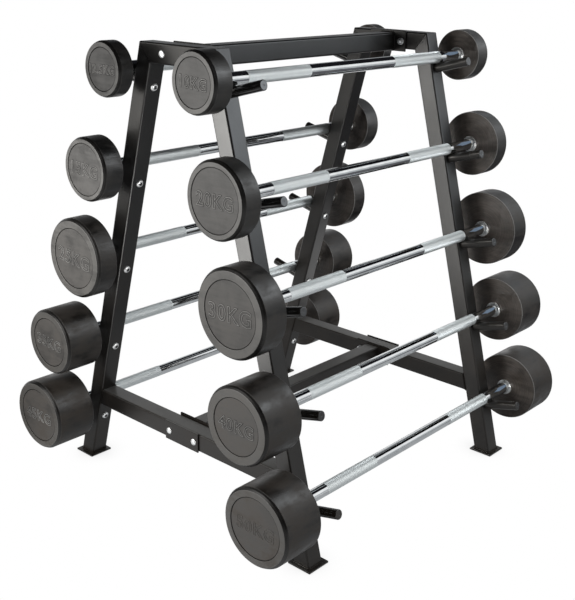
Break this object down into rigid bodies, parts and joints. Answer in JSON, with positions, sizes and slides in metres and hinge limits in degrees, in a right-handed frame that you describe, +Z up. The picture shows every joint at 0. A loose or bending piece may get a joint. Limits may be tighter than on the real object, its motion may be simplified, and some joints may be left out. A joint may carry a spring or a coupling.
{
  "type": "barbell storage rack",
  "caption": "Free-standing A-frame rack of square steel tube whose sloping uprights carry pairs of pegs, with straight fixed-head barbells lying on the pegs on both sides.",
  "frame": {"origin": "on the floor, below the middle of the object's bounding box", "axes": "+X along the bars to the right, -Y to the front (the 10 to 50 kg side), +Z up"},
  "size_m": [1.224, 1.0431, 1.2199],
  "materials": {
    "frame_paint": "satin black powder coat",
    "peg_paint": "semi-gloss black paint",
    "chrome_bar": "polished chrome with knurled grips",
    "head_rubber": "matt moulded rubber"
  },
  "bodies": {
    "rack": {"upright_left_front": "frame_paint", "upright_right_front": "frame_paint", "upright_left_rear": "frame_paint", "upright_right_rear": "frame_paint", "top_rail_left": "frame_paint", "top_rail_right": "frame_paint", "lower_rail_left": "frame_paint", "lower_rail_right": "frame_paint", "top_beam": "frame_paint", "lower_beam": "frame_paint", "peg_left_front_1": "peg_paint", "peg_left_front_2": "peg_paint", "peg_left_front_3": "peg_paint", "peg_left_front_4": "peg_paint", "peg_left_front_5": "peg_paint", "peg_right_front_1": "peg_paint", "peg_right_front_2": "peg_paint", "peg_right_front_3": "peg_paint", "peg_right_front_4": "peg_paint", "peg_right_front_5": "peg_paint", "peg_left_rear_1": "peg_paint", "peg_left_rear_2": "peg_paint", "peg_left_rear_3": "peg_paint", "peg_left_rear_4": "peg_paint", "peg_left_rear_5": "peg_paint", "peg_right_rear_1": "peg_paint", "peg_right_rear_2": "peg_paint", "peg_right_rear_3": "peg_paint", "peg_right_rear_4": "peg_paint", "peg_right_rear_5": "peg_paint"},
    "barbell_10kg": {"bar_10kg": "chrome_bar", "head_10kg_left": "head_rubber", "head_10kg_right": "head_rubber"},
    "barbell_20kg": {"bar_20kg": "chrome_bar", "head_20kg_left": "head_rubber", "head_20kg_right": "head_rubber"},
    "barbell_30kg": {"bar_30kg": "chrome_bar", "head_30kg_left": "head_rubber", "head_30kg_right": "head_rubber"},
    "barbell_40kg": {"bar_40kg": "chrome_bar", "head_40kg_left": "head_rubber", "head_40kg_right": "head_rubber"},
    "barbell_50kg": {"bar_50kg": "chrome_bar", "head_50kg_left": "head_rubber", "head_50kg_right": "head_rubber"},
    "barbell_12p5kg": {"bar_12p5kg": "chrome_bar", "head_12p5kg_left": "head_rubber", "head_12p5kg_right": "head_rubber"},
    "barbell_15kg": {"bar_15kg": "chrome_bar", "head_15kg_left": "head_rubber", "head_15kg_right": "head_rubber"},
    "barbell_25kg": {"bar_25kg": "chrome_bar", "head_25kg_left": "head_rubber", "head_25kg_right": "head_rubber"},
    "barbell_35kg": {"bar_35kg": "chrome_bar", "head_35kg_left": "head_rubber", "head_35kg_right": "head_rubber"},
    "barbell_45kg": {"bar_45kg": "chrome_bar", "head_45kg_left": "head_rubber", "head_45kg_right": "head_rubber"}
  },
  "joints": [
    {"name": "lift_off_10kg", "type": "slide", "parent": "rack", "child": "barbell_10kg", "axis": [0, -0.9666, 0.2561], "range_m": [0, 0.14]},
    {"name": "lift_off_20kg", "type": "slide", "parent": "rack", "child": "barbell_20kg", "axis": [0, -0.9666, 0.2561], "range_m": [0, 0.14]},
    {"name": "lift_off_30kg", "type": "slide", "parent": "rack", "child": "barbell_30kg", "axis": [0, -0.9666, 0.2561], "range_m": [0, 0.14]},
    {"name": "lift_off_40kg", "type": "slide", "parent": "rack", "child": "barbell_40kg", "axis": [0, -0.9666, 0.2561], "range_m": [0, 0.14]},
    {"name": "lift_off_50kg", "type": "slide", "parent": "rack", "child": "barbell_50kg", "axis": [0, -0.9666, 0.2561], "range_m": [0, 0.14]},
    {"name": "lift_off_12p5kg", "type": "slide", "parent": "rack", "child": "barbell_12p5kg", "axis": [0, 0.9666, 0.2561], "range_m": [0, 0.14]},
    {"name": "lift_off_15kg", "type": "slide", "parent": "rack", "child": "barbell_15kg", "axis": [0, 0.9666, 0.2561], "range_m": [0, 0.14]},
    {"name": "lift_off_25kg", "type": "slide", "parent": "rack", "child": "barbell_25kg", "axis": [0, 0.9666, 0.2561], "range_m": [0, 0.14]},
    {"name": "lift_off_35kg", "type": "slide", "parent": "rack", "child": "barbell_35kg", "axis": [0, 0.9666, 0.2561], "range_m": [0, 0.14]},
    {"name": "lift_off_45kg", "type": "slide", "parent": "rack", "child": "barbell_45kg", "axis": [0, 0.9666, 0.2561], "range_m": [0, 0.14]}
  ]
}
